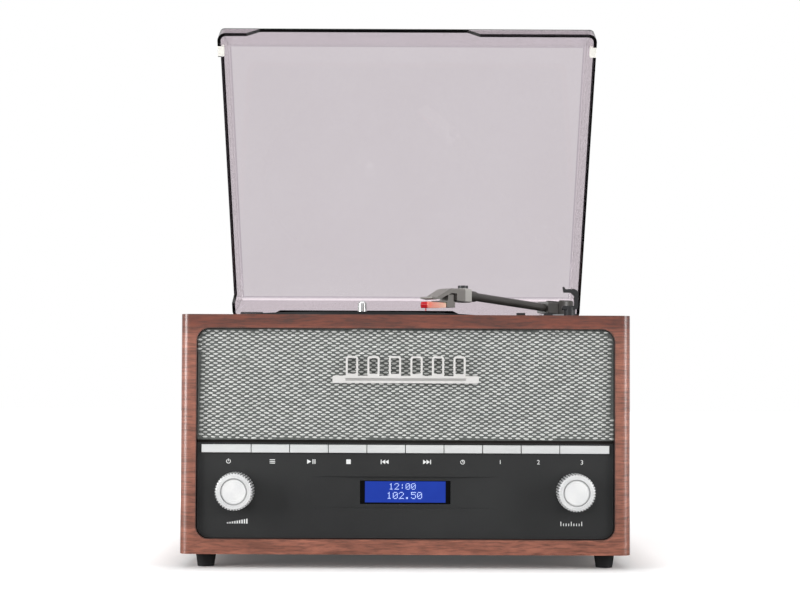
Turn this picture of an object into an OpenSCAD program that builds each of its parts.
// Stereo music centre: wooden case with radio controls, belt-drive turntable and hinged clear lid.
// Millimetres, +Z up, front towards -Y, feet on Z = 0, origin under the middle of the whole model.

/* [Cabinet] */
// Width of the wooden case
cab_w = 320; // [316:1:340]
// Depth of the wooden case
cab_d = 280; // [278:1:300]
// Height of the wooden case without feet
cab_h = 170; // [168:1:185]
// Thickness of the side walls
side_wall = 18; // [16:0.5:19]
// Thickness of the bottom board
bottom_wall = 16; // [12:0.5:18]
// Thickness of the top board
top_wall = 14; // [12:0.5:16]
// Visible width of the side edges around the front opening
front_edge_side = 11.7; // [9:0.1:13]
// Visible height of the top edge over the front opening
front_edge_top = 10; // [8:0.5:11]
// Visible height of the bottom edge under the front opening
front_edge_bottom = 11; // [9:0.5:14]
// Radius of the upright outer edges of the case
case_edge_r = 7; // [4:0.5:9]
// Corner radius of the front and rear openings
opening_r = 9; // [5:0.5:10]
// How deep the front panels sit behind the front edge
front_recess = 3; // [2:0.5:5]

/* [Feet] */
// Height of a foot
foot_h = 10; // [6:0.5:14]
// Diameter of a foot at the case
foot_top_d = 14.9; // [12:0.1:20]
// Diameter of a foot at the floor
foot_bottom_d = 11.9; // [8:0.1:14]
// Distance of a foot's centre from the side of the case
foot_inset_x = 17; // [12:1:30]
// Distance of a foot's centre from the front or back of the case
foot_inset_y = 18; // [12:1:30]

/* [Front panels] */
// Thickness of the front baffle board
baffle_t = 6; // [5:0.5:8]
// Thickness of the grille cloth on its frame
cloth_t = 2.5; // [2:0.1:2.8]
// Thickness of the moulded control fascia
fascia_t = 3; // [2.6:0.1:3.5]
// Height of the fascia's top edge above the floor of the front opening
fascia_h = 67.4; // [66:0.1:69]
// Shadow gap between the fascia and the grille cloth
fascia_gap = 2.2; // [0.5:0.1:3]
// Diameter of a speaker's frame
speaker_d = 70; // [66:1:70]
// Diameter of the hole that the cone plays through
speaker_hole_d = 62; // [54:1:64]
// Distance of a speaker from the side of the front opening
speaker_side = 53.3; // [50:0.1:62]
// Half length of the shallow recess beside the display
scoop_half = 67; // [60:1:75]
// Depth of the recess at the display
scoop_depth = 1.6; // [0.8:0.1:1.8]
// Height of the recess
scoop_h = 22.5; // [20:0.5:24]

/* [Display] */
// Width of the display window
window_w = 64.4; // [58:0.1:68]
// Height of the display window
window_h = 16.7; // [14:0.1:18]
// Height of the display's middle above the floor of the front opening
window_mid = 32.8; // [31:0.1:34]
// Thickness of the display window
lens_t = 1.2; // [0.8:0.1:1.4]
// Depth of the display module
module_t = 5; // [3:0.5:6]

/* [Buttons] */
// Number of press buttons in the row
button_count = 10; // [10:1:10]
// Distance of the button row from the side of the front opening
row_side = 3.3; // [3:0.1:5]
// Width of the first and the last button
end_button_w = 35.4; // [30:0.1:36]
// Height of a button
button_h = 5.6; // [4.5:0.1:6.5]
// Height of the row's middle above the floor of the front opening
button_mid = 63.7; // [63:0.1:64.5]
// Gap between two buttons
button_gap = 0.6; // [0.4:0.1:1]
// How far a button stands out of the fascia
button_out = 1.2; // [0.8:0.1:2]
// How far a button goes in
button_travel = 0.8; // [0.4:0.1:1]

/* [Knobs] */
// Distance of a knob from the side of the front opening
knob_side = 28.1; // [27:0.1:36]
// Height of the knobs above the floor of the front opening
knob_mid = 33.9; // [32:0.1:35]
// Outer radius of a knob
knob_r = 13; // [11:0.1:14]
// Length of a knob
knob_len = 15.3; // [12:0.1:18]
// Number of flutes around a knob
flute_count = 40; // [30:1:48]
// Depth of a flute
flute_depth = 0.7; // [0.4:0.1:1]
// Gap between a knob and the fascia
knob_gap = 1.2; // [1:0.1:2]
// Radius of a knob shaft
knob_shaft_r = 3; // [2.5:0.1:3.2]
// Travel of the select knob when it is pushed
select_travel = 0.6; // [0.4:0.1:0.8]

/* [Turntable] */
// Distance of the spindle from the case's left side
spindle_side = 125.1; // [122:0.1:127]
// Distance of the spindle behind the front of the case
spindle_back = 138; // [134:1:140]
// Radius of the spindle
spindle_r = 3.6; // [3:0.05:3.6]
// Height of the spindle's tip above the deck
spindle_h = 17; // [14:0.5:20]
// Radius of the platter
platter_r = 100; // [90:1:102]
// Thickness of the platter's plate
platter_t = 1.6; // [1.2:0.1:2]
// Height of the platter's upper face above the deck
platter_top = 2.2; // [1.8:0.1:3]
// Thickness of the slip mat
mat_t = 1.8; // [1:0.1:2.5]
// Depth of the well under the deck
well_depth = 13; // [12.5:0.5:14]
// Thickness of the deck plate
deck_t = 2.5; // [2:0.1:3]
// Width of the wooden edge around the deck plate
deck_margin = 5; // [4.5:0.1:6]
// Radius of the belt's ring under the platter
belt_ring_r = 60; // [50:1:62]
// Width of the flat belt
belt_w = 4; // [3:0.5:5]
// Thickness of the flat belt
belt_t = 0.8; // [0.6:0.1:1]
// Distance of the motor from the spindle
motor_reach = 82; // [80:1:83]
// Radius of the motor's can
motor_r = 16; // [12:1:17]

/* [Tonearm] */
// Distance of the arm's pivot from the case's right side
pivot_side = 29.4; // [29:0.1:31]
// Distance of the arm's pivot behind the front of the case
pivot_back = 225; // [222:1:228]
// Height of the pivot above the deck
pivot_h = 14.2; // [13.5:0.1:15]
// Length from the pivot to the stylus
arm_len = 195; // [190:1:196]
// Radius of the arm's tube
tube_r = 3.3; // [3:0.1:3.5]
// Angle that the arm is swung in from its rest in the photographed pose
arm_in = 36.4; // [30:0.1:40]
// Angle that the tube climbs towards the head
arm_climb = 2.37; // [2:0.01:3]
// Radius of the pivot housing
yoke_r = 11.8; // [11:0.1:12.5]
// Height of the pivot housing's top above the deck
yoke_top = 22; // [21:0.5:23]
// Distance of the arm rest from the pivot
rest_reach = 86; // [80:1:92]
// Height that the tube clears the arm rest's lock in its raised state
lock_room = 3.1; // [3:0.1:4]
// Distance of the lift bar from the pivot
lifter_reach = 21.5; // [20:0.5:23]

/* [Lid] */
// Distance of the lid from the side of the case
lid_side = 8; // [7:0.5:10]
// Length of the lid
lid_len = 259; // [257:1:260]
// Height of the lid
lid_h = 36; // [34:0.5:40]
// Wall thickness of the lid
lid_t = 2.6; // [2:0.1:3]
// Height of the upright part of the lid's front
lid_front_h = 13; // [12:0.5:15]
// Length over which the front slopes up to the panel
lid_slope_run = 21; // [15:0.5:25]
// How much each side leans in over its height
lid_draft = 3; // [1:0.5:4]
// Radius of the lid's upright corners
lid_corner_r = 7; // [5:0.5:8]
// Angle of the open lid
lid_open = 59.3; // [50:0.1:65]
// Height of the cut-outs in the lid's edge
cut_h = 10.5; // [8:0.5:11]
// Width of the front cut-out
front_cut_w = 187; // [170:1:195]
// Width of the rear cut-out
rear_cut_w = 172; // [165:1:180]
// Length of the side cut-out
side_cut_len = 224; // [200:1:225]
// Slant of the front and rear cut-outs' ends
cut_slant = 10; // [4:1:12]
// Slant of the side cut-out's ends
side_cut_slant = 3; // [2:0.5:5]
// Gap between the deck and the closed lid's edge
rim_gap = 1.2; // [1.1:0.1:2]
// Distance of a hinge from the lid's side
hinge_side = 16; // [15:0.5:18]
// Radius of a hinge pin
hinge_pin_r = 1.25; // [1:0.05:1.5]

/* [Rear] */
// Thickness of the rear panel
rear_t = 4; // [3:0.5:5]
// Radius of the aux socket's bore
aux_r = 1.8; // [1.75:0.05:2]
// Depth of the aux socket's bore
aux_depth = 14; // [12:0.5:16]

/* [Clearances] */
// Gap between neighbouring pieces
gap = 0.3; // [0.2:0.05:0.35]
// Radial clearance of a turning shaft
run_fit = 0.05; // [0.03:0.01:0.08]
// Radial clearance of a fixed shaft
fixed_fit = 0.02; // [0.01:0.01:0.03]

/* [Hidden] */
$fn = 64;
arc_steps = 6;

// Hinge line and lid, first along the depth because they set the model's full reach
hinge_inset = 9;
hinge_rise = 2.6;
lid_rear_gap = 6;
lid_top_r = 5;
knob_reach = knob_gap + knob_len - front_recess;
lid_behind = lid_top_r
    + (lid_h - lid_top_r - hinge_rise) * sin(lid_open)
    - (lid_rear_gap + lid_top_r) * cos(lid_open);
lid_reach = lid_behind - hinge_inset;
front_y = knob_reach - (knob_reach + cab_d + lid_reach) / 2;
back_y = front_y + cab_d;
deck_z = foot_h + cab_h;
hinge_y = back_y - hinge_inset;
rim_z = deck_z + rim_gap;
hinge_z = rim_z + hinge_rise;
lid_w = cab_w - 2 * lid_side;
hinge_x = lid_w / 2 - hinge_side;

// Front opening and what fits in it
open_half = cab_w / 2 - front_edge_side;
open_bottom = foot_h + front_edge_bottom;
open_top = deck_z - front_edge_top;
tunnel_half = cab_w / 2 - side_wall;
tunnel_bottom = foot_h + bottom_wall;
tunnel_top = deck_z - top_wall;
tunnel_r = 6;
panel_y = front_y + front_recess;
baffle_y = panel_y + fascia_t;
baffle_back = baffle_y + baffle_t;
fascia_top = open_bottom + gap + fascia_h;
cloth_bottom = fascia_top + fascia_gap;
cloth_mid = (cloth_bottom + open_top) / 2;
cloth_y = baffle_y - cloth_t;
control_half = tunnel_half - 4;
speaker_x = open_half - speaker_side;
knob_x = open_half - knob_side;
control_bottom = open_bottom + 15;
control_top = fascia_top - 0.5;
rear_rabbet = rear_t + 2;
rear_y = back_y - rear_rabbet;

// Buttons, knobs and display
button_z = open_bottom + button_mid;
inner_buttons = button_count - 2;
row_half = open_half - row_side;
button_pitch = 2 * (row_half - end_button_w) / inner_buttons;
flange_over = 1;
flange_t = 1.2;
switch_h = 3.4;
switch_side = 6;
board_t = 1.6;
flange_y = baffle_y + gap;
stem_end = flange_y + flange_t + 3;
board_front = stem_end + button_travel + gap + switch_h;
board_z0 = button_z - 12;
board_z1 = button_z + switch_side / 2;
knob_z = open_bottom + knob_mid;
window_z = open_bottom + window_mid;
window_half = window_w / 2;
bushing_r = knob_shaft_r + 0.9;
encoder_side = 13;
encoder_y = baffle_y + gap;
encoder_t = 7.7;
shaft_end = encoder_y + 5.6;
plunger_r = 1.5;
knob_front = panel_y - knob_gap - knob_len;
disc_r = knob_r - 3.6;
ring_w = 0.8;

// Turntable
spindle_x = spindle_side - cab_w / 2;
spindle_y = front_y + spindle_back;
well_r = platter_r + 3;
well_wall = 2;
well_floor = deck_z - well_depth;
bearing_r = 8;
bearing_z = well_floor - 17;
motor_angle = 225;
motor_x = spindle_x + motor_reach * cos(motor_angle);
motor_y = spindle_y + motor_reach * sin(motor_angle);
pulley_r = 6;
motor_h = 20;
belt_z = well_floor + 2.5;
platter_z = deck_z + platter_top;
mat_r = platter_r - 1;
collar_r = spindle_r + 0.7;
bearing_top = well_floor + 1.2;
hub_z = bearing_top + gap;
deck_half = cab_w / 2 - deck_margin - gap;
deck_front = front_y + deck_margin + gap;
deck_rear = back_y - 4;
deck_r = 6;
top_opening_y = 20;
slot_l = 18;
slot_w = 3;
switch_y = front_y + 34;
selector_x = cab_w / 2 - 56;
auto_stop_x = selector_x - 20;
slide_travel = 6;

// Tonearm
pivot_x = cab_w / 2 - pivot_side;
pivot_y = front_y + pivot_back;
pivot_z = deck_z + pivot_h;
yoke_z = deck_z + 5.3;
yoke_floor = deck_z + 7.8;
yoke_shaft_r = 4;
arm_block_w = 10.8;
arm_block_front = 27;
arm_block_back = 8;
arm_block_half_h = 4.8;
arm_pin_r = 1.25;
head_start = arm_len - 54;
head_end = arm_len - 45;
head_z0 = deck_z + 14.3;
head_z1 = deck_z + 25;
head_w = 10.5;
tip_z = deck_z + 6;
rest_x = pivot_x;
rest_y = pivot_y - rest_reach;
rest_tube_z = pivot_z + rest_reach * tan(arm_climb);
rest_shelf_z = rest_tube_z - tube_r - 1;
rest_wall_x = rest_x + tube_r + gap + 0.1;
rest_wall_t = 2.6;
rest_l = 8;
clip_z = rest_tube_z + 1.6;
clip_under = rest_tube_z + tube_r + lock_room;
clip_t = 3;
lifter_top = pivot_z + lifter_reach * tan(arm_climb) - arm_block_half_h - 0.6;
lifter_t = 2;
lifter_w = 3;
lifter_post_r = 2;
lifter_mid = 24;
cue_x = pivot_x + 9;
cue_y = pivot_y - 20;
cue_z = deck_z + 4.2;
cue_pin_r = 1.2;

// Lid
lid_rear = hinge_y - lid_rear_gap;
lid_front = lid_rear - lid_len;
hinge_leaf_w = 20;
hinge_leaf_h = 9;
hinge_leaf_t = 2;
knuckle_r = 3.2;
knuckle_w = 6;
ear_w = 3;
bumper_l = 8;
bumper_w = 5;

// Helpers for blocks, rods and outlines

module block(a, b) {
    translate(a) cube(b - a);
}

module rod_x(x0, x1, y, z, r) {
    translate([x0, y, z]) rotate([0, 90, 0]) cylinder(h = x1 - x0, r = r);
}

module rod_y(x, y0, y1, z, r) {
    translate([x, y1, z]) rotate([90, 0, 0]) cylinder(h = y1 - y0, r = r);
}

module rod_z(x, y, z0, z1, r) {
    translate([x, y, z0]) cylinder(h = z1 - z0, r = r);
}

// Extrudes an outline drawn in X and Z along Y
module along_y(y0, y1) {
    translate([0, y1, 0]) rotate([90, 0, 0]) linear_extrude(y1 - y0) children();
}

// Extrudes an outline drawn in Y and Z along X
module along_x(x0, x1) {
    translate([x0, 0, 0]) rotate([90, 0, 90]) linear_extrude(x1 - x0) children();
}

// Rectangle with true round corners, between two opposite corners
module rounded(a, b, r) {
    translate([a.x + r, a.y]) square([b.x - a.x - 2 * r, b.y - a.y]);
    translate([a.x, a.y + r]) square([b.x - a.x, b.y - a.y - 2 * r]);
    for (x = [a.x + r, b.x - r], y = [a.y + r, b.y - r]) translate([x, y]) circle(r);
}

function unit(v) = v / norm(v);

// Points of the arc that rounds the corner p between a and b
function corner(a, p, b, r) = r <= 0 ? [p] :
    let (u = unit(a - p), v = unit(b - p), half = acos(u * v) / 2,
         c = p + unit(u + v) * r / sin(half), t = p + u * r / tan(half),
         start = atan2(t.y - c.y, t.x - c.x), turn = -sign(cross(u, v)) * (180 - 2 * half))
    [for (i = [0:arc_steps]) c + r * [cos(start + turn * i / arc_steps),
                                      sin(start + turn * i / arc_steps)]];

// Outline through points with one corner radius for each
function rounded_path(points, radii) = let (n = len(points))
    [for (i = [0:n - 1]) each corner(points[(i + n - 1) % n], points[i], points[(i + 1) % n], radii[i])];

// Wooden case

module opening_outline(shrink) {
    rounded([-open_half + shrink, open_bottom + shrink], [open_half - shrink, open_top - shrink],
        opening_r - shrink);
}

module cabinet_shell() {
    pilot_r = 1.4;
    color("#8a5440") difference() {
        translate([0, 0, foot_h]) linear_extrude(cab_h)
            rounded([-cab_w / 2, front_y], [cab_w / 2, back_y], case_edge_r);
        along_y(front_y - 1, baffle_back) opening_outline(0);
        along_y(front_y, back_y) rounded([-tunnel_half, tunnel_bottom], [tunnel_half, tunnel_top], tunnel_r);
        along_y(rear_y, back_y + 1) opening_outline(0);
        block([-tunnel_half, front_y + top_opening_y, tunnel_top - tunnel_r],
            [tunnel_half, back_y - top_opening_y, deck_z + 1]);
        translate([0, 0, deck_z - deck_t]) linear_extrude(deck_t + 1)
            rounded([-deck_half - gap, deck_front - gap], [deck_half + gap, deck_rear + gap], deck_r);
        for (s = [-1, 1], z = rear_screw_heights) rod_y(s * rear_screw_x, rear_y - 12, rear_y + 1, z, pilot_r);
    }
}

module feet() {
    color("#202022") for (x = [-1, 1], y = [front_y + foot_inset_y, back_y - foot_inset_y])
        translate([x * (cab_w / 2 - foot_inset_x), y, 0])
            cylinder(h = foot_h, d1 = foot_bottom_d, d2 = foot_top_d);
}

// Front

module front_baffle() {
    color("#3a3430") difference() {
        along_y(baffle_y, baffle_back) opening_outline(gap);
        for (s = [-1, 1]) rod_y(s * speaker_x, baffle_y - 1, baffle_back + 1, cloth_mid, speaker_hole_d / 2);
        block([-control_half, baffle_y - 1, control_bottom], [control_half, baffle_back + 1, control_top]);
    }
}

module grille_cloth() {
    color("#8f918d") intersection() {
        along_y(cloth_y, baffle_y) opening_outline(gap);
        block([-cab_w, cloth_y, cloth_bottom], [cab_w, baffle_y, deck_z]);
    }
}

badge_half = 52;
badge_h = 5.2;
badge_z = 134;
badge_out = 3;
rib_count = 6;
rib_pitch = 15.3;
rib_w = 8.7;
rib_h = 14;

module badge() {
    rib_wall = 1.4;
    color("#d9dad6") difference() {
        union() {
            along_y(cloth_y - badge_out, cloth_y)
                rounded([-badge_half, badge_z - badge_h / 2], [badge_half, badge_z + badge_h / 2], 1.2);
            for (i = [0:rib_count - 1]) let (x = (i - (rib_count - 1) / 2) * rib_pitch)
                along_y(cloth_y - badge_out, cloth_y) difference() {
                    rounded([x - rib_w / 2, badge_z + badge_h / 2 - 1],
                        [x + rib_w / 2, badge_z + badge_h / 2 + rib_h], 2);
                    rounded([x - rib_w / 2 + rib_wall, badge_z + badge_h / 2 + rib_wall],
                        [x + rib_w / 2 - rib_wall, badge_z + badge_h / 2 + rib_h - rib_wall], 0.8);
                }
        }
        along_y(cloth_y - badge_out - 1, cloth_y - badge_out + 0.6)
            rounded([-badge_half + 8.5, badge_z - 1], [badge_half - 8.5, badge_z + 1], 0.9);
    }
}

module control_fascia() {
    post_r = 2.2;
    color("#343638") {
        difference() {
            intersection() {
                along_y(panel_y, baffle_y) opening_outline(gap);
                block([-cab_w, panel_y, 0], [cab_w, baffle_y, fascia_top]);
            }
            block([-row_half - gap, panel_y - 1, button_z - button_h / 2 - gap],
                [row_half + gap, baffle_y + 1, button_z + button_h / 2 + gap]);
            block([-window_half, panel_y - 1, window_z - window_h / 2],
                [window_half, baffle_y + 1, window_z + window_h / 2]);
            translate([0, 0, window_z - scoop_h / 2]) linear_extrude(scoop_h)
                polygon([[-scoop_half, panel_y], [-window_half - 1, panel_y + scoop_depth],
                    [window_half + 1, panel_y + scoop_depth], [scoop_half, panel_y],
                    [scoop_half, panel_y - 1], [-scoop_half, panel_y - 1]]);
            for (s = [-1, 1]) rod_y(s * knob_x, panel_y - 1, baffle_y + 1, knob_z, bushing_r + gap);
        }
        for (x = [-control_half + 12, -42, 42, control_half - 12])
            rod_y(x, baffle_y, board_front, board_z0 + 3, post_r);
    }
}

module display_lens() {
    color("#1c2a6e") block([-window_half + gap, baffle_y - lens_t, window_z - window_h / 2 + gap],
        [window_half - gap, baffle_y, window_z + window_h / 2 - gap]);
}

module display_module() {
    glass_over = 2;
    color("#2746b4") block([-window_half - glass_over, baffle_y + gap, window_z - window_h / 2 - glass_over],
        [window_half + glass_over, baffle_y + gap + module_t, window_z + window_h / 2 + glass_over]);
    color("#1f5a38") block([-window_half - 4, baffle_y + gap + module_t, window_z - window_h / 2 - 4],
        [window_half + 4, baffle_y + gap + module_t + board_t, window_z + window_h / 2 + 1]);
}

// Press buttons

function button_x0(i) = i == 1 ? -row_half : -row_half + end_button_w + (i - 2) * button_pitch;
function button_x1(i) = i == button_count ? row_half : -row_half + end_button_w + (i - 1) * button_pitch;
function button_x(i) = i == 1 ? button_x1(1) - button_pitch / 2
    : i == button_count ? button_x0(i) + button_pitch / 2 : (button_x0(i) + button_x1(i)) / 2;

module button(i) {
    stem_w = 3;
    half_gap = button_gap / 2;
    cap_back = baffle_y - button_travel - gap;
    color("#dfe1e0") {
        block([button_x0(i) + half_gap, panel_y - button_out, button_z - button_h / 2],
            [button_x1(i) - half_gap, cap_back, button_z + button_h / 2]);
        block([button_x(i) - button_pitch / 2 + half_gap, cap_back, button_z - button_h / 2],
            [button_x(i) + button_pitch / 2 - half_gap, flange_y, button_z + button_h / 2]);
        block([button_x(i) - button_pitch / 2 + half_gap, flange_y, button_z - button_h / 2 - flange_over],
            [button_x(i) + button_pitch / 2 - half_gap, flange_y + flange_t, button_z + button_h / 2]);
        block([button_x(i) - stem_w / 2, flange_y + flange_t, button_z - stem_w / 2],
            [button_x(i) + stem_w / 2, stem_end, button_z + stem_w / 2]);
    }
}

module button_board() {
    color("#1f5a38") block([-control_half + 1, board_front, board_z0],
        [control_half - 1, board_front + board_t, board_z1]);
    color("#303030") for (i = [1:button_count])
        block([button_x(i) - switch_side / 2, board_front - switch_h, button_z - switch_side / 2],
            [button_x(i) + switch_side / 2, board_front, button_z + switch_side / 2]);
}

// Knobs and encoders

// Shaft body with a threaded collar through the fascia and a rear bore for a plunger
module encoder(x) {
    collar_out = 1.2;
    color("#8a8d90") difference() {
        union() {
            block([x - encoder_side / 2, encoder_y, knob_z - encoder_side / 2],
                [x + encoder_side / 2, encoder_y + encoder_t, knob_z + encoder_side / 2]);
            rod_y(x, panel_y - collar_out, encoder_y, knob_z, bushing_r);
        }
        rod_y(x, panel_y - collar_out - 1, shaft_end + select_travel + gap, knob_z, knob_shaft_r + run_fit);
        rod_y(x, shaft_end, encoder_y + encoder_t + 1, knob_z, plunger_r + gap);
    }
}

module volume_encoder() {
    encoder(-knob_x);
}

module tuning_encoder() {
    encoder(knob_x);
}

module knob_shaft(x) {
    color("#a9adb0") rod_y(x, knob_front + 4, shaft_end, knob_z, knob_shaft_r);
}

module volume_shaft() {
    knob_shaft(-knob_x);
}

module tuning_shaft() {
    knob_shaft(knob_x);
}

module tuning_plunger() {
    color("#303030") rod_y(knob_x, shaft_end + gap, encoder_y + encoder_t + 2, knob_z, plunger_r);
}

// Fluted outline of a knob
function flute_outline(r) = [for (i = [0:4 * flute_count - 1])
    let (a = i * 90 / flute_count, d = [0, 0.35, 1, 0.35][i % 4])
    (r - d * flute_depth) * [cos(a), sin(a)]];

module knob(x) {
    edge = 0.8;
    skirt_r = 7;
    skirt_depth = 4;
    len_plain = knob_len - edge;
    color("#d4d6d6") translate([x, knob_front, knob_z]) rotate([-90, 0, 0]) difference() {
        intersection() {
            linear_extrude(knob_len) polygon(flute_outline(knob_r));
            union() {
                cylinder(h = edge, r1 = knob_r - edge, r2 = knob_r - 0.2);
                translate([0, 0, edge]) cylinder(h = len_plain, r1 = knob_r - 0.2, r2 = knob_r + 0.1);
            }
        }
        translate([0, 0, -1]) cylinder(h = 1.7, r = disc_r);
        translate([0, 0, -1]) difference() {
            cylinder(h = 2.5, r = disc_r);
            cylinder(h = 2.5, r = disc_r - ring_w);
        }
        translate([0, 0, 4]) cylinder(h = knob_len, r = knob_shaft_r + fixed_fit);
        translate([0, 0, knob_len - skirt_depth]) cylinder(h = skirt_depth + 1, r = skirt_r);
    }
}

module volume_knob() {
    knob(-knob_x);
}

module tuning_knob() {
    knob(knob_x);
}

// Inside the case

module speaker(x) {
    frame_r = speaker_d / 2;
    cone_r = speaker_hole_d / 2 - 1;
    magnet_r = 20;
    depth = 34;
    color("#2c2c2e") translate([x, baffle_back, cloth_mid]) rotate([-90, 0, 0]) rotate_extrude()
        polygon([[0, 6], [9, 9], [11, 13], [cone_r - 4, 2.4], [cone_r - 2, 0.8], [cone_r, 2], [cone_r, 0],
            [frame_r, 0], [frame_r, 2], [cone_r, 5], [magnet_r + 3, 20], [magnet_r, 21],
            [magnet_r, depth], [0, depth]]);
}

module speaker_left() {
    speaker(-speaker_x);
}

module speaker_right() {
    speaker(speaker_x);
}

main_w = 140;
main_d = 100;
main_y = front_y + cab_d * 3 / 7;
main_z = tunnel_bottom + 6;
sink_h = 24;
chip_h = 5;
can_h = 16;
can_r = 5;

module main_board() {
    color("#1f5a38") block([-main_w / 2, main_y, main_z], [main_w / 2, main_y + main_d, main_z + board_t]);
    color("#c9c9c4") for (x = [-1, 1], y = [main_y + 6, main_y + main_d - 6])
        rod_z(x * (main_w / 2 - 6), y, tunnel_bottom, main_z, 3);
    top = main_z + board_t;
    color("#9aa0a4") {
        block([-main_w * 0.36, main_y + main_d * 0.2, top], [-main_w * 0.14, main_y + main_d * 0.3, top + sink_h]);
        block([main_w * 0.14, main_y + main_d * 0.5, top], [main_w * 0.4, main_y + main_d * 0.84, top + chip_h]);
    }
    color("#20262c") for (i = [0:3])
        rod_z(main_w * (i * 0.115 - 0.36), main_y + main_d * 0.6, top, top + can_h, can_r);
}

// Rear

rear_screw_x = (open_half + tunnel_half) / 2;
screw_l = 15;
rear_screw_heights = [open_bottom + 14, (open_bottom + open_top) / 2, open_top - 14];
socket_z = open_bottom + 34;
rca_side = 64;
rca_x = rca_side - cab_w / 2;
rca_pitch = 16;
aux_x = -52;
dc_x = 96;
aerial_x = 52;
socket_body = 15;
collar_end = rear_y + rear_t + 0.6;
rca_nose = 7.4;

module rear_panel() {
    vent_w = 3;
    vent_h = 40;
    vent_pitch = 8;
    color("#2a2522") difference() {
        along_y(rear_y, rear_y + rear_t) opening_outline(gap);
        for (s = [-1, 1], z = rear_screw_heights)
            rod_y(s * rear_screw_x, rear_y - 1, rear_y + rear_t + 1, z, 1.7);
        for (s = [-1, 1]) rod_y(rca_x + s * rca_pitch / 2, rear_y - 1, rear_y + rear_t + 1, socket_z, 5 + gap);
        rod_y(aux_x, rear_y - 1, rear_y + rear_t + 1, socket_z, 4 + gap);
        rod_y(dc_x, rear_y - 1, rear_y + rear_t + 1, socket_z, 5.5 + gap);
        rod_y(aerial_x, rear_y - 1, rear_y + rear_t + 1, socket_z, 5 + gap);
        for (i = [-6:6]) along_y(rear_y - 1, rear_y + rear_t + 1)
            rounded([i * vent_pitch - vent_w / 2, cloth_mid - vent_h / 2],
                [i * vent_pitch + vent_w / 2, cloth_mid + vent_h / 2], vent_w / 2 - 0.1);
    }
}

module rear_screws() {
    color("#b8bbbd") for (s = [-1, 1], z = rear_screw_heights) {
        rod_y(s * rear_screw_x, rear_y - screw_l + rear_t, rear_y + rear_t, z, 1.4 - fixed_fit);
        difference() {
            rod_y(s * rear_screw_x, rear_y + rear_t, rear_y + rear_t + 1.8, z, 2.9);
            for (a = [0, 90]) translate([s * rear_screw_x, rear_y + rear_t + 1.8, z]) rotate([0, a, 0])
                cube([3.4, 1.8, 0.7], center = true);
        }
    }
}

// Socket body against the inner face of the rear panel, with a collar in the hole and a nose outside
module socket(x, collar_r, nose_r, nose_out, bore_r, bore_depth) {
    nose_end = collar_end + nose_out;
    difference() {
        union() {
            block([x - 7, rear_y - socket_body, socket_z - 7], [x + 7, rear_y, socket_z + 7]);
            rod_y(x, rear_y, collar_end, socket_z, collar_r);
            rod_y(x, rear_y, nose_end, socket_z, nose_r);
        }
        rod_y(x, nose_end - bore_depth, nose_end + 1, socket_z, bore_r);
    }
}

module rca_jacks() {
    color("#c8c4b8") for (s = [-1, 1]) {
        socket(rca_x + s * rca_pitch / 2, 5, 4.15, rca_nose, 3.2, 9);
        rod_y(rca_x + s * rca_pitch / 2, rear_y, collar_end + rca_nose - 1, socket_z, 1.2);
    }
}

module aux_jack() {
    color("#303234") socket(aux_x, 4, 3.2, 1, aux_r, aux_depth);
}

module dc_inlet() {
    color("#242628") socket(dc_x, 5.5, 4.6, 0.6, 3.2, 11);
    color("#c8c4b8") rod_y(dc_x, rear_y + rear_t - 11, rear_y + rear_t - 1, socket_z, 1);
}

module aerial_socket() {
    color("#c8c4b8") socket(aerial_x, 5, 4.7, 8, 1.4, 8);
}

// Deck

module deck_plate() {
    color("#1e1e20") difference() {
        union() {
            translate([0, 0, deck_z - deck_t]) linear_extrude(deck_t)
                rounded([-deck_half, deck_front], [deck_half, deck_rear], deck_r - gap);
            rod_z(spindle_x, spindle_y, well_floor - well_wall, deck_z - deck_t, well_r + well_wall);
        }
        rod_z(spindle_x, spindle_y, well_floor, deck_z + 1, well_r);
        rod_z(spindle_x, spindle_y, well_floor - well_wall - 1, deck_z, bearing_r + fixed_fit);
        rod_z(motor_x, motor_y, well_floor - well_wall - 1, deck_z, pulley_r + 2);
        rod_z(pivot_x, pivot_y, deck_z - deck_t - 1, deck_z + 1, 2 * yoke_shaft_r + gap);
        rod_z(rest_x, rest_y, deck_z - deck_t - 1, deck_z + 1, 2 + fixed_fit);
        lifter_place() rod_z(0, 0, deck_z - deck_t - 1, deck_z + 1, lifter_post_r + 1);
        for (x = [selector_x, auto_stop_x])
            block([x - slot_w / 2, switch_y - slot_l / 2, deck_z - deck_t - 1],
                [x + slot_w / 2, switch_y + slot_l / 2, deck_z + 1]);
    }
}

module spindle_bearing() {
    color("#b59a54") difference() {
        union() {
            rod_z(spindle_x, spindle_y, bearing_z, bearing_top, bearing_r);
            rod_z(spindle_x, spindle_y, well_floor - well_wall - 1.5, well_floor - well_wall, bearing_r + 4);
        }
        rod_z(spindle_x, spindle_y, bearing_z + 2, well_floor + 2, spindle_r + run_fit);
    }
}

module drive_motor() {
    color("#a6a9ab") difference() {
        union() {
            rod_z(motor_x, motor_y, well_floor - well_wall - motor_h, well_floor - well_wall, motor_r);
            rod_z(motor_x, motor_y, well_floor - well_wall, well_floor - 0.6, 3.5);
        }
        rod_z(motor_x, motor_y, well_floor - well_wall - motor_h + 4, well_floor, 1 + run_fit);
    }
}

module motor_pulley() {
    color("#c8a850") {
        rod_z(motor_x, motor_y, well_floor - well_wall - motor_h + 5, well_floor, 1);
        rod_z(motor_x, motor_y, well_floor, belt_z + belt_w + 1, pulley_r - belt_t);
        rod_z(motor_x, motor_y, well_floor, belt_z - gap, pulley_r);
    }
}

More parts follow.
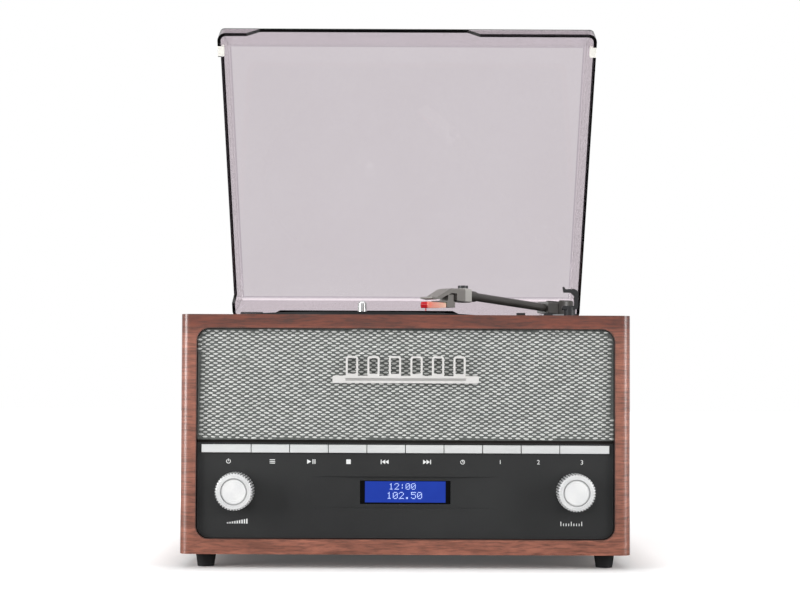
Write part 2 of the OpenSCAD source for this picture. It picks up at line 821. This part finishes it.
// Loop around two circles of radii r1 and r2 whose centres lie d apart
module belt_outline(r1, r2, d) {
    spread = acos((r1 - r2) / d);
    circle(r1);
    translate([d, 0]) circle(r2);
    polygon([r1 * [cos(spread), sin(spread)], r1 * [cos(spread), -sin(spread)],
        [d, 0] + r2 * [cos(spread), -sin(spread)], [d, 0] + r2 * [cos(spread), sin(spread)]]);
}

module drive_belt() {
    color("#151515") translate([spindle_x, spindle_y, belt_z]) rotate([0, 0, motor_angle])
        linear_extrude(belt_w) difference() {
            belt_outline(belt_ring_r + gap + belt_t, pulley_r - belt_t + gap + belt_t, motor_reach);
            belt_outline(belt_ring_r + gap, pulley_r - belt_t + gap, motor_reach);
        }
}

module platter() {
    skirt_z = well_floor + 6.6;
    ring_z = well_floor + 1;
    hub_r = 11;
    color("#3b3b3e") translate([spindle_x, spindle_y, 0]) difference() {
        union() {
            rod_z(0, 0, platter_z - platter_t, platter_z, platter_r);
            difference() {
                rod_z(0, 0, skirt_z, platter_z, platter_r);
                rod_z(0, 0, skirt_z - 1, platter_z, platter_r - 2);
            }
            difference() {
                rod_z(0, 0, ring_z, platter_z, belt_ring_r);
                rod_z(0, 0, ring_z - 1, platter_z, belt_ring_r - 2);
            }
            rod_z(0, 0, hub_z, platter_z, hub_r);
        }
        rod_z(0, 0, 0, platter_z + 1, collar_r + fixed_fit);
    }
}

module slip_mat() {
    color("#17171a") translate([spindle_x, spindle_y, 0]) difference() {
        rod_z(0, 0, platter_z, platter_z + mat_t, mat_r);
        rod_z(0, 0, platter_z - 1, platter_z + mat_t + 1, collar_r + gap);
    }
}

module spindle() {
    tip_r = 1.2;
    shoulder = 2.2;
    top_z = deck_z + spindle_h;
    color("#cdb26a") translate([spindle_x, spindle_y, 0]) {
        rod_z(0, 0, bearing_z + 2 + gap, top_z - shoulder, spindle_r);
        rod_z(0, 0, hub_z, platter_z + mat_t, collar_r);
        translate([0, 0, top_z - shoulder]) cylinder(h = shoulder * 0.6, r1 = spindle_r, r2 = spindle_r - 0.8);
        translate([0, 0, top_z - shoulder * 0.4])
            cylinder(h = shoulder * 0.4, r1 = spindle_r - 0.8, r2 = tip_r);
    }
}

// Slide with a finger tab over the deck and a plate under it
module slide_switch(x) {
    tab_half = 4;
    color("#2a2a2d") {
        block([x - slot_w, switch_y - tab_half, deck_z + gap], [x + slot_w, switch_y + tab_half, deck_z + 3]);
        block([x - slot_w / 2 + gap, switch_y - 2, deck_z - deck_t - gap - 1],
            [x + slot_w / 2 - gap, switch_y + 2, deck_z + gap]);
        block([x - slot_w, switch_y - tab_half, deck_z - deck_t - gap - 2],
            [x + slot_w, switch_y + tab_half, deck_z - deck_t - gap]);
    }
}

module speed_selector() {
    slide_switch(selector_x);
}

module auto_stop_switch() {
    slide_switch(auto_stop_x);
}

// Tonearm

// Moves what is drawn with the arm along -Y from the origin to the photographed pose
module arm_place(angle = -arm_in) {
    translate([pivot_x, pivot_y, 0]) rotate([0, 0, angle]) children();
}

module lifter_place() {
    arm_place(-lifter_mid) translate([0, -lifter_reach, 0]) children();
}

module tonearm_base() {
    plate_t = 2.5;
    ear_t = 1.8;
    color("#26272a") difference() {
        union() {
            rod_z(pivot_x, pivot_y, deck_z, deck_z + plate_t, yoke_r + 2);
            rod_z(pivot_x, pivot_y, deck_z - 10, yoke_z - gap, 2 * yoke_shaft_r);
            lifter_place() rod_z(0, 0, deck_z, lifter_top - lifter_t - 1, 2 * lifter_post_r + 0.6);
            arm_place(-lifter_mid) block([-lifter_w, -lifter_reach, deck_z], [lifter_w, 0, deck_z + plate_t]);
            block([cue_x - 5, cue_y - 3, deck_z], [cue_x + 4.6, pivot_y - 4, deck_z + plate_t - 1.5]);
            for (x = [cue_x - 1.8 - ear_t, cue_x + 1.8]) block([x, cue_y - 2.5, deck_z],
                [x + ear_t, cue_y + 2.5, cue_z + 2.5]);
        }
        rod_z(pivot_x, pivot_y, deck_z - 11, yoke_z, yoke_shaft_r + run_fit);
        lifter_place() rod_z(0, 0, deck_z - 1, pivot_z, lifter_post_r + run_fit);
        rod_x(cue_x - 9, cue_x + 9, cue_y, cue_z, cue_pin_r + run_fit);
    }
}

module cue_lever() {
    lever_l = 26;
    color("#303236") {
        rod_x(cue_x - 3.4, cue_x + 3.4, cue_y, cue_z, cue_pin_r);
        along_x(cue_x - 1.5, cue_x + 1.5)
            polygon(rounded_path([[cue_y + 2, cue_z - 1.8], [cue_y + 2, cue_z + 1.8],
                [cue_y - 12, cue_z + 2], [cue_y - lever_l, cue_z + 5],
                [cue_y - lever_l, cue_z + 3], [cue_y - 10, cue_z - 1.8]], [1.5, 1.5, 8, 0.8, 0.8, 8]));
    }
}

module cue_lifter() {
    spread = 28;
    inner = lifter_reach - lifter_w / 2;
    outer = lifter_reach + lifter_w / 2;
    color("#8d9092") {
        arm_place(-lifter_mid) translate([0, 0, lifter_top - lifter_t]) rotate([0, 0, -90 - spread])
            rotate_extrude(angle = 2 * spread) translate([inner, 0]) square([outer - inner, lifter_t]);
        lifter_place() rod_z(0, 0, deck_z - 8, lifter_top - lifter_t / 2, lifter_post_r);
    }
}

module tonearm_yoke() {
    slot_half = arm_block_w / 2 + gap;
    color("#2b2d30") arm_place() difference() {
        union() {
            rod_z(0, 0, yoke_z, deck_z + yoke_top - 1, yoke_r);
            translate([0, 0, deck_z + yoke_top - 1]) cylinder(h = 1, r1 = yoke_r, r2 = yoke_r - 1);
            rod_z(0, 0, deck_z - 9, yoke_z, yoke_shaft_r);
        }
        block([-slot_half, -yoke_r - 1, yoke_floor], [slot_half, yoke_r + 1, deck_z + yoke_top + 1]);
        rod_x(-yoke_r - 1, yoke_r + 1, 0, pivot_z, arm_pin_r + run_fit);
    }
}

module tonearm_tube() {
    tube_end = head_start / cos(arm_climb);
    collar_l = 10;
    color("#3c3d3f") arm_place() translate([0, 0, pivot_z]) {
        rod_x(-yoke_r + 1.2, yoke_r - 1.2, 0, 0, arm_pin_r);
        rotate([-arm_climb, 0, 0]) {
            along_y(-arm_block_front, arm_block_back)
                rounded([-arm_block_w / 2, -arm_block_half_h], [arm_block_w / 2, arm_block_half_h], 1);
            rod_y(0, -tube_end + 1, -arm_block_front, 0, tube_r);
            rod_y(0, -tube_end + 1, -tube_end + 1 + collar_l, 0, tube_r + 0.9);
        }
    }
}

module headshell() {
    shell_w = 11;
    tip = arm_len - 0.6;
    arch_back = -head_end - 18;
    screw_h = 2.4;
    color("#8b8c8c") arm_place() {
        along_y(-head_end, -head_start) rounded([-head_w / 2, head_z0], [head_w / 2, head_z1], 1.4);
        intersection() {
            along_x(-shell_w / 2, shell_w / 2) polygon(rounded_path(
                [[-head_end, head_z0 + 0.4], [-head_end, head_z1 - 0.4], [arch_back - 2, head_z1 - 0.8],
                    [-tip + 5, head_z0 + 1.6], [-tip, head_z0 + 2.4], [-tip, head_z0 + 0.8],
                    [-tip + 8, head_z0 + 0.4], [arch_back, head_z1 - 4.4],
                    [-head_end - 11.5, head_z1 - 4.6], [-head_end - 11.5, head_z0 + 0.8]],
                [0, 0, 22, 4, 0.4, 0.4, 4, 8, 0.6, 0.6]));
            along_y(-tip - 1, -head_end + 1)
                rounded([-shell_w / 2, head_z0 - 2], [shell_w / 2, head_z1 - 0.4], 1.6);
        }
    }
    color("#2a2b2d") arm_place() rod_z(0, (-head_start - head_end) / 2, head_z1, head_z1 + screw_h, 4);
}

cartridge_z = tip_z + 3.6;

module cartridge() {
    body_w = 8;
    start = arm_len - 33;
    deck = cartridge_z + 4.4;
    seat = head_z1 - 5.4;
    color("#a5a3a2") arm_place() along_x(-body_w / 2, body_w / 2)
        polygon([[-start, cartridge_z], [-start, deck], [-start - 2, deck + 0.6], [-start - 2, seat],
            [-start - 9, seat - 0.4], [-start - 9.6, deck + 0.6], [-start - 20, cartridge_z + 4.6],
            [-start - 20, cartridge_z + 3.6], [-start - 11, cartridge_z + 3.6], [-start - 11, cartridge_z]]);
}

module stylus() {
    body_w = 7;
    start = arm_len - 21.7;
    color("#c8202c") arm_place() {
        along_x(-body_w / 2, body_w / 2) polygon(rounded_path(
            [[-start, cartridge_z - 0.6], [-start, cartridge_z + 3.3], [-arm_len - 1, cartridge_z + 3.3],
                [-arm_len - 2, cartridge_z + 1], [-arm_len - 1.4, cartridge_z - 1.6]],
            [0.4, 0.4, 1, 0.8, 0.8]));
        rod_z(0, -arm_len, tip_z, cartridge_z - 1, 0.5);
    }
}

module arm_rest() {
    wall_top = clip_z - 2.4;
    color("#2a2a2e") difference() {
        union() {
            rod_z(rest_x, rest_y, deck_z - deck_t, rest_shelf_z - 1, 2);
            rod_z(rest_x, rest_y, deck_z, rest_shelf_z - 1, 4.5);
            along_y(rest_y - rest_l / 2, rest_y + rest_l / 2)
                polygon(rounded_path([[rest_x - 6, rest_shelf_z - 3], [rest_wall_x + rest_wall_t, rest_shelf_z - 3],
                    [rest_wall_x + rest_wall_t, wall_top], [rest_wall_x, wall_top], [rest_wall_x, rest_shelf_z],
                    [rest_x - 6, rest_shelf_z]], [1, 2, 0, 0, 0.4, 0.8]));
            for (y = [rest_y - rest_l / 2, rest_y + rest_l / 2 - 2]) {
                rod_y(rest_wall_x + rest_wall_t / 2 + 0.2, y, y + 2, clip_z, 1.8);
                block([rest_wall_x, y, wall_top - 1], [rest_wall_x + rest_wall_t, y + 2, clip_z]);
            }
        }
        rod_y(rest_wall_x + rest_wall_t / 2 + 0.2, rest_y - rest_l, rest_y + rest_l, clip_z, 0.8 + run_fit);
    }
}

module arm_clip() {
    half_w = rest_l / 2 - 2 - gap;
    hinge_at = rest_wall_x + rest_wall_t / 2 + 0.2;
    color("#1f1d22") {
        rod_y(hinge_at, rest_y - rest_l / 2, rest_y + rest_l / 2, clip_z, 0.8);
        rod_y(hinge_at, rest_y - half_w, rest_y + half_w, clip_z, 1.6);
        along_y(rest_y - half_w, rest_y + half_w) polygon(rounded_path(
            [[hinge_at - 1.5, clip_z], [hinge_at + 1.6, clip_z], [hinge_at + 1.6, clip_under + 1.2],
                [hinge_at - 2, clip_under + clip_t], [rest_x - 3.4, clip_under + clip_t - 0.4],
                [rest_x - 4.6, clip_under + clip_t + 1.6], [rest_x - 5.8, clip_under + clip_t + 1.6],
                [rest_x - 5, clip_under], [hinge_at - 4.4, clip_under], [hinge_at - 1.5, clip_under - 3]],
            [0, 0.2, 3, 2, 0.6, 0.5, 0.5, 0.5, 1.6, 1.6]));
    }
}

// Lid

// Turns what is drawn on the closed lid to the open pose
module lid_place() {
    translate([0, hinge_y, hinge_z]) rotate([-lid_open, 0, 0]) translate([0, -hinge_y, -hinge_z]) children();
}

// Closed shape of the lid, drawn in by a wall thickness
module lid_form(inset, down) {
    rise = lid_h - lid_front_h;
    slope = norm([rise, lid_slope_run]);
    knee_z = rim_z + lid_front_h - inset * (slope - rise) / lid_slope_run;
    knee_y = lid_front + lid_slope_run + inset * (slope - lid_slope_run) / rise;
    top_z = rim_z + lid_h - inset;
    half = lid_w / 2 - inset;
    soft = max(lid_top_r - inset, 1);
    intersection() {
        along_x(-half, half) polygon(rounded_path(
            [[lid_rear - inset, rim_z - down], [lid_rear - inset, top_z], [knee_y, top_z],
                [lid_front + inset, knee_z], [lid_front + inset, rim_z - down]],
            [0, soft, soft, soft, 0]));
        along_y(lid_front + inset, lid_rear - inset) polygon(rounded_path(
            [[-half, rim_z - down], [half, rim_z - down], [half - lid_draft, top_z], [-half + lid_draft, top_z]],
            [0, 0, soft, soft]));
        translate([0, 0, rim_z - down]) linear_extrude(lid_h + down)
            rounded([-half, lid_front + inset], [half, lid_rear - inset], lid_corner_r - inset);
    }
}

// Cut-out with slanted ends, drawn from its middle
module cut_outline(width, mid, slant) {
    polygon([[mid - width / 2, rim_z - 1], [mid - width / 2, rim_z],
        [mid - width / 2 + slant, rim_z + cut_h], [mid + width / 2 - slant, rim_z + cut_h],
        [mid + width / 2, rim_z], [mid + width / 2, rim_z - 1]]);
}

module dust_cover() {
    color("#b9afb6") lid_place() difference() {
        lid_form(0, 0);
        lid_form(lid_t, 1);
        along_y(lid_front - 1, lid_front + 9) cut_outline(front_cut_w, spindle_x, cut_slant);
        along_y(lid_rear - 9, lid_rear + 1) cut_outline(rear_cut_w, spindle_x, cut_slant);
        along_x(-lid_w / 2 - 1, -lid_w / 2 + 9) cut_outline(side_cut_len, spindle_y, side_cut_slant);
    }
}

module lid_bumpers() {
    y0 = lid_front + 11;
    lug_t = 1.6;
    color("#eceae4") lid_place() for (s = [-1, 1]) scale([s, 1, 1]) {
        block([lid_w / 2 - bumper_w, y0, rim_z - 1], [lid_w / 2, y0 + bumper_l, rim_z]);
        block([lid_w / 2 - bumper_w, y0, rim_z - 1], [lid_w / 2 - bumper_w + lug_t, y0 + bumper_l, rim_z + 4]);
    }
}

module lid_hinge_arms() {
    color("#222224") lid_place() for (s = [-1, 1]) translate([s * hinge_x, 0, 0]) difference() {
        union() {
            rod_x(-knuckle_w / 2, knuckle_w / 2, hinge_y, hinge_z, knuckle_r);
            block([-knuckle_w / 2, lid_rear + hinge_leaf_t - 0.5, rim_z], [knuckle_w / 2, hinge_y, hinge_z + 2]);
            along_y(lid_rear, lid_rear + hinge_leaf_t) rounded([-hinge_leaf_w / 2, rim_z],
                [hinge_leaf_w / 2, rim_z + hinge_leaf_h], 1.5);
        }
        rod_x(-knuckle_w, knuckle_w, hinge_y, hinge_z, hinge_pin_r + run_fit);
    }
}

module hinge_bases() {
    ear_in = knuckle_w / 2 + gap;
    bar_y = hinge_y + knuckle_r + gap;
    color("#222224") for (s = [-1, 1]) translate([s * hinge_x, 0, 0]) difference() {
        union() {
            for (x = [-ear_in - ear_w, ear_in]) {
                rod_x(x, x + ear_w, hinge_y, hinge_z, knuckle_r);
                block([x, hinge_y - knuckle_r, deck_z], [x + ear_w, hinge_y + knuckle_r, hinge_z]);
            }
            block([-ear_in - ear_w, bar_y, deck_z], [ear_in + ear_w, deck_rear, deck_z + 3]);
            for (x = [-ear_in - ear_w, ear_in])
                block([x, hinge_y, deck_z], [x + ear_w, deck_rear, deck_z + 3]);
        }
        rod_x(-hinge_leaf_w, hinge_leaf_w, hinge_y, hinge_z, hinge_pin_r + fixed_fit);
    }
}

module hinge_pins() {
    pin_half = knuckle_w / 2 + gap + ear_w;
    color("#b8bbbd") for (s = [-1, 1])
        rod_x(s * hinge_x - pin_half, s * hinge_x + pin_half, hinge_y, hinge_z, hinge_pin_r);
}

cabinet_shell();
feet();
front_baffle();
grille_cloth();
badge();
control_fascia();
display_lens();
display_module();
button_board();
main_board();
speaker_left();
speaker_right();
volume_encoder();
tuning_encoder();
rear_panel();
rear_screws();
rca_jacks();
aux_jack();
dc_inlet();
aerial_socket();
deck_plate();
spindle_bearing();
drive_motor();
drive_belt();
hinge_bases();
hinge_pins();
tonearm_base();
arm_rest();
for (i = [1:button_count]) button(i);
volume_shaft();
volume_knob();
tuning_plunger();
tuning_shaft();
tuning_knob();
platter();
slip_mat();
spindle();
motor_pulley();
dust_cover();
lid_bumpers();
lid_hinge_arms();
tonearm_yoke();
tonearm_tube();
headshell();
cartridge();
stylus();
arm_clip();
cue_lever();
cue_lifter();
speed_selector();
auto_stop_switch();
